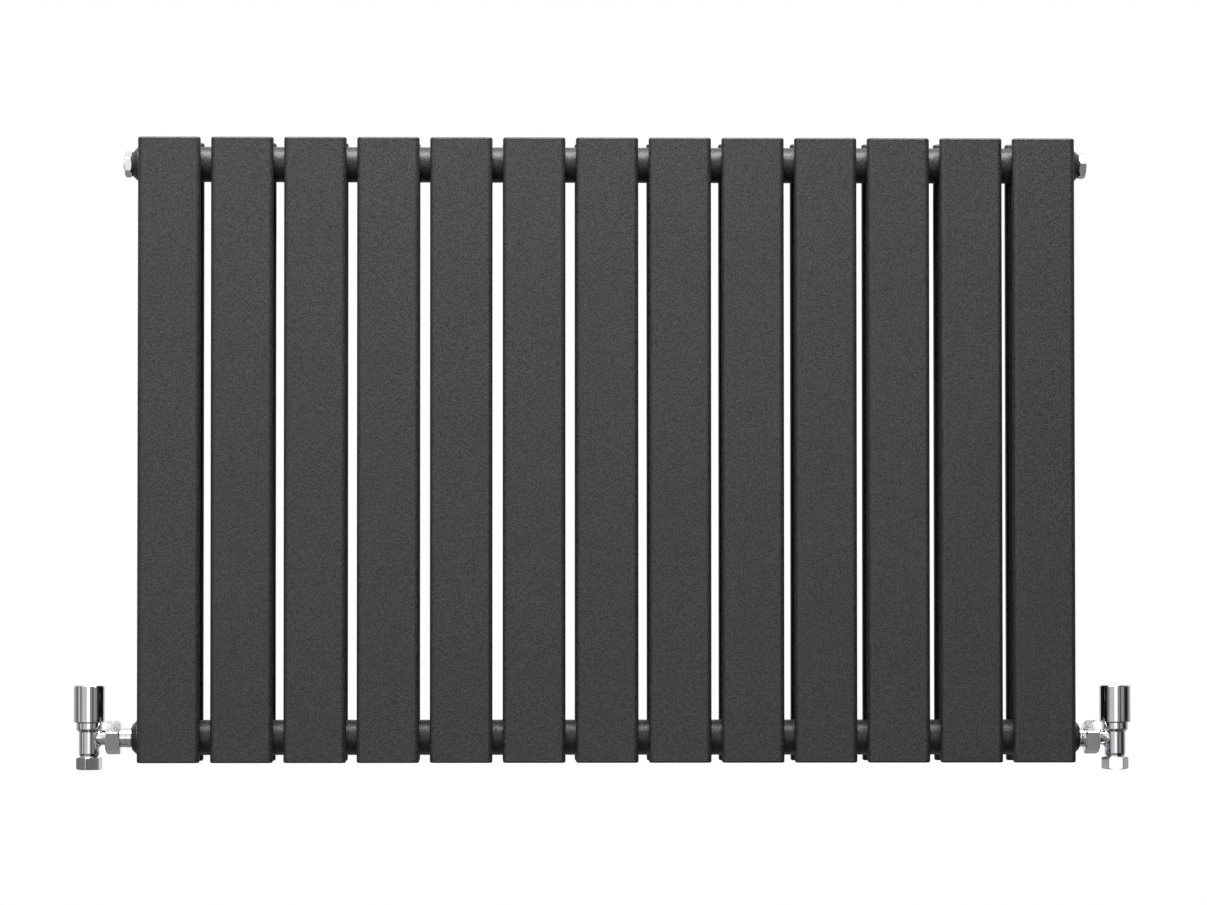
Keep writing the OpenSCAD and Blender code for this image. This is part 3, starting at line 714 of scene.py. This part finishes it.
def make_plug(name, node, end_outline, turn, matrix):
    """Hexagonal head with the plug's round part under it. end_outline is what stands out of the
    head, with its heights measured from the head's face."""
    seat = boss_face + PLUG_SEAL_T
    face = seat + PLUG_HEAD_T
    head = hex_bar(PLUG_HEAD_AF, seat, face, PLUG_HEAD_CHAMFER, turn=turn)
    root_end, seal_top = boss_face - PLUG_INTO_BOSS, seat + PLUG_OVERLAP
    root = lathe([(0, root_end), (THREAD_R, root_end), (THREAD_R, seal_top), (0, seal_top)], PLUG_STEPS)
    outer = lathe(rounded([(r, face + h, arc) for r, h, arc in end_outline]), PLUG_STEPS)
    home = Matrix.Translation(header_mid["top"] / MM)
    piece(name, join([head, root, outer]), ORIGIN, "radiator", "chrome", [node], bevel=0.3,
          finish="plated_nut", matrix=home @ matrix)


def make_plugs():
    """The bleed valve with its nozzle on the left and the blanking plug with its dome on the right."""
    nozzle = [(3.0, -1, 0), (4.6, -1, 0), (4.6, 1.4, 0.4), (3.8, 1.4, 0.2), (3.8, -3.5, 0), (3.0, -3.5, 0)]
    dome = [(0, -1, 0), (8.4, -1, 0), (8.4, 0, 0), (6.4, 0.8, 0.8), (0, 0.8, 0)]
    make_plug("bleed_valve_polished", "bleed_valve_body", nozzle, BLEED_TURN, FLIP_X @ ALONG_X)
    make_plug("blanking_plug_polished", "blanking_plug", dome, BLANK_TURN, ALONG_X)


# ---------------------------------------------------------------- CAD pieces that keep their shape

CAD_BEVEL = {"wall_brackets": 0.6, "hanging_lugs": 0.6, "hook_studs": 0.4, "hook_stud_nuts": 0.2}


def finish_cad_nodes():
    """Gives every CAD node that is still shown its real finish, and soft edges to those listed in CAD_BEVEL.
    """
    slots = {part["node"]: part["material_slot"] for part in frame["record"]["subparts"]}
    for name, obj in frame["nodes"].items():
        if obj.hide_render:
            continue
        for slot in obj.material_slots:
            slot.material = FINISH[slots[name]]
        if name in CAD_BEVEL:
            soften(obj, CAD_BEVEL[name])


# ---------------------------------------------------------------- studio
# Places in this section are in metres.

FLOOR_HALF_W = 4.0
FLOOR_Z = -2.2


def make_floor():
    """Plain floor well below the radiator, kept out of its reflections and its light."""
    corners = [(x * FLOOR_HALF_W, y * FLOOR_HALF_W, FLOOR_Z) for x, y in ((-1, -1), (1, -1), (1, 1), (-1, 1))]
    mesh = bpy.data.meshes.new("studio_floor")
    mesh.from_pydata(corners, [], [(0, 1, 2, 3)])
    floor = bpy.data.objects.new("studio_floor", mesh)
    bpy.context.scene.collection.objects.link(floor)
    mesh.materials.append(floor_paper())
    floor.visible_glossy = False
    floor.visible_diffuse = False


# Light of the studio, as (bearing, level). A bearing is in degrees from the front, positive to the right.
# STRIPS is what stands round the radiator at its own height, with upright strip lights near the
# front. SURROUND is what is above and below them.
STRIPS = [(-180, 0.9), (-130, 0.5), (-100, 0.16), (-81, 0.14), (-79, 0.75), (-71, 0.75), (-68, 0.22),
          (-52, 0.22), (-48, 0.50), (-30, 0.62), (-17, 0.52), (-14, 0.52), (-11, 1.5), (9, 1.5), (11, 0.12),
          (16, 0.12), (19, 0.36), (25, 0.32), (27, 0.08), (35, 0.08), (38, 0.30), (60, 0.28), (66, 0.02),
          (94, 0.02), (104, 0.18), (130, 0.5), (180, 0.9)]
SURROUND = [(-180, 1.1), (-125, 0.9), (-112, 0.1), (-98, 0.4), (-85, 0.4), (-75, 0.10), (-55, 0.95),
            (13, 0.95), (26, 0.08), (60, 0.02), (75, 0.05), (85, 0.4), (98, 0.4), (112, 0.1), (125, 0.9),
            (180, 1.1)]
# Shares by height, from 0 straight below to 1 straight above: how much of STRIPS shows, and how
# bright SURROUND is.
STRIP_SHARE = [(0.40, 0.0), (0.45, 1.0), (0.56, 1.0), (0.62, 0.0)]
SURROUND_LEVEL = [(0.0, 0.22), (0.35, 0.27), (0.50, 0.97), (1.0, 0.90)]
WHITE = (1, 1, 1, 1)


def make_world():
    """White to the camera, and the studio to the light and the reflections."""
    world = bpy.data.worlds.new("studio")
    bpy.context.scene.world = world
    world.use_nodes = True
    tree = world.node_tree
    tree.nodes.clear()

    def ramp(value, stops):
        node = add_node(tree, "ShaderNodeValToRGB", {"Fac": value})
        while len(node.color_ramp.elements) < len(stops):
            node.color_ramp.elements.new(0.5)
        for element, (place, level) in zip(node.color_ramp.elements, stops):
            element.position = place
            element.color = (level, level, level, 1)
        return node.outputs["Color"]

    def whole_turn(stops):
        return [(0.5 + bearing / 360, level) for bearing, level in stops]

    way = add_node(tree, "ShaderNodeTexCoord", {}).outputs["Generated"]
    axes = add_node(tree, "ShaderNodeSeparateXYZ", {"Vector": way}).outputs
    front = add_node(tree, "ShaderNodeMath", {0: axes["Y"], 1: -1.0}, operation="MULTIPLY").outputs[0]
    bearing = add_node(tree, "ShaderNodeMath", {0: axes["X"], 1: front}, operation="ARCTAN2").outputs[0]
    around = spread(tree, bearing, 0.0, 1.0, from_low=-math.pi, from_high=math.pi)
    height = spread(tree, axes["Z"], 0.0, 1.0, from_low=-1.0, from_high=1.0)
    surround = blend(tree, 1.0, ramp(around, whole_turn(SURROUND)), ramp(height, SURROUND_LEVEL), "MULTIPLY")
    studio = blend(tree, ramp(height, STRIP_SHARE), surround, ramp(around, whole_turn(STRIPS)))
    lit = add_node(tree, "ShaderNodeBackground", {"Color": studio, "Strength": 1.0}).outputs[0]
    seen = add_node(tree, "ShaderNodeBackground", {"Color": WHITE, "Strength": 1.0}).outputs[0]
    camera_ray = add_node(tree, "ShaderNodeLightPath", {}).outputs["Is Camera Ray"]
    picked = add_node(tree, "ShaderNodeMixShader", {0: camera_ray, 1: lit, 2: seen})
    add_node(tree, "ShaderNodeOutputWorld", {"Surface": picked.outputs[0]})


SOFTBOX_AT = Vector((-0.05, -0.75, 1.6))
SOFTBOX_TARGET = Vector((-0.05, -0.55, 0))
SOFTBOX_SIZE = (2.6, 1.0)
SOFTBOX_WATTS = 92


def make_light():
    """One large soft light above and in front."""
    data = bpy.data.lights.new("top_softbox", "AREA")
    data.shape = "RECTANGLE"
    data.size, data.size_y = SOFTBOX_SIZE
    data.energy = SOFTBOX_WATTS
    light = bpy.data.objects.new("top_softbox", data)
    bpy.context.scene.collection.objects.link(light)
    light.location = SOFTBOX_AT
    light.rotation_euler = (SOFTBOX_TARGET - SOFTBOX_AT).to_track_quat("-Z", "Y").to_euler()


LENS_MM, SENSOR_MM = 106.0, 36.0
CAMERA_X, CAMERA_Z = -0.122, -0.142
CAMERA_DISTANCE = 3.407
CAMERA_UP, CAMERA_RIGHT = math.radians(1.17), math.radians(0.995)
CAMERA_SHIFT = (0.0512, 0.0602)


def make_camera():
    """Looks nearly along +Y from a little left of and below the middle. Half of the way to the
    object's middle is turned and half is shift, which keeps upright edges nearly upright."""
    data = bpy.data.cameras.new("camera")
    data.lens, data.sensor_width = LENS_MM, SENSOR_MM
    data.shift_x, data.shift_y = CAMERA_SHIFT
    camera = bpy.data.objects.new("camera", data)
    bpy.context.scene.collection.objects.link(camera)
    camera.location = (CAMERA_X, row_mid_y["front"] - CAMERA_DISTANCE, CAMERA_Z)
    camera.rotation_euler = (math.pi / 2 + CAMERA_UP, 0, -CAMERA_RIGHT)
    bpy.context.scene.camera = camera


make_camera()
make_panels()
make_end_caps()
make_headers()
make_bosses()
for valve_side in ("left", "right"):
    make_valve_body(valve_side)
    make_tailpiece(valve_side)
make_nuts()
make_handwheel()
make_lockshield_cap()
make_plugs()
finish_cad_nodes()
make_floor()
make_world()
make_light()
bpy.context.scene.view_settings.view_transform = "Standard"
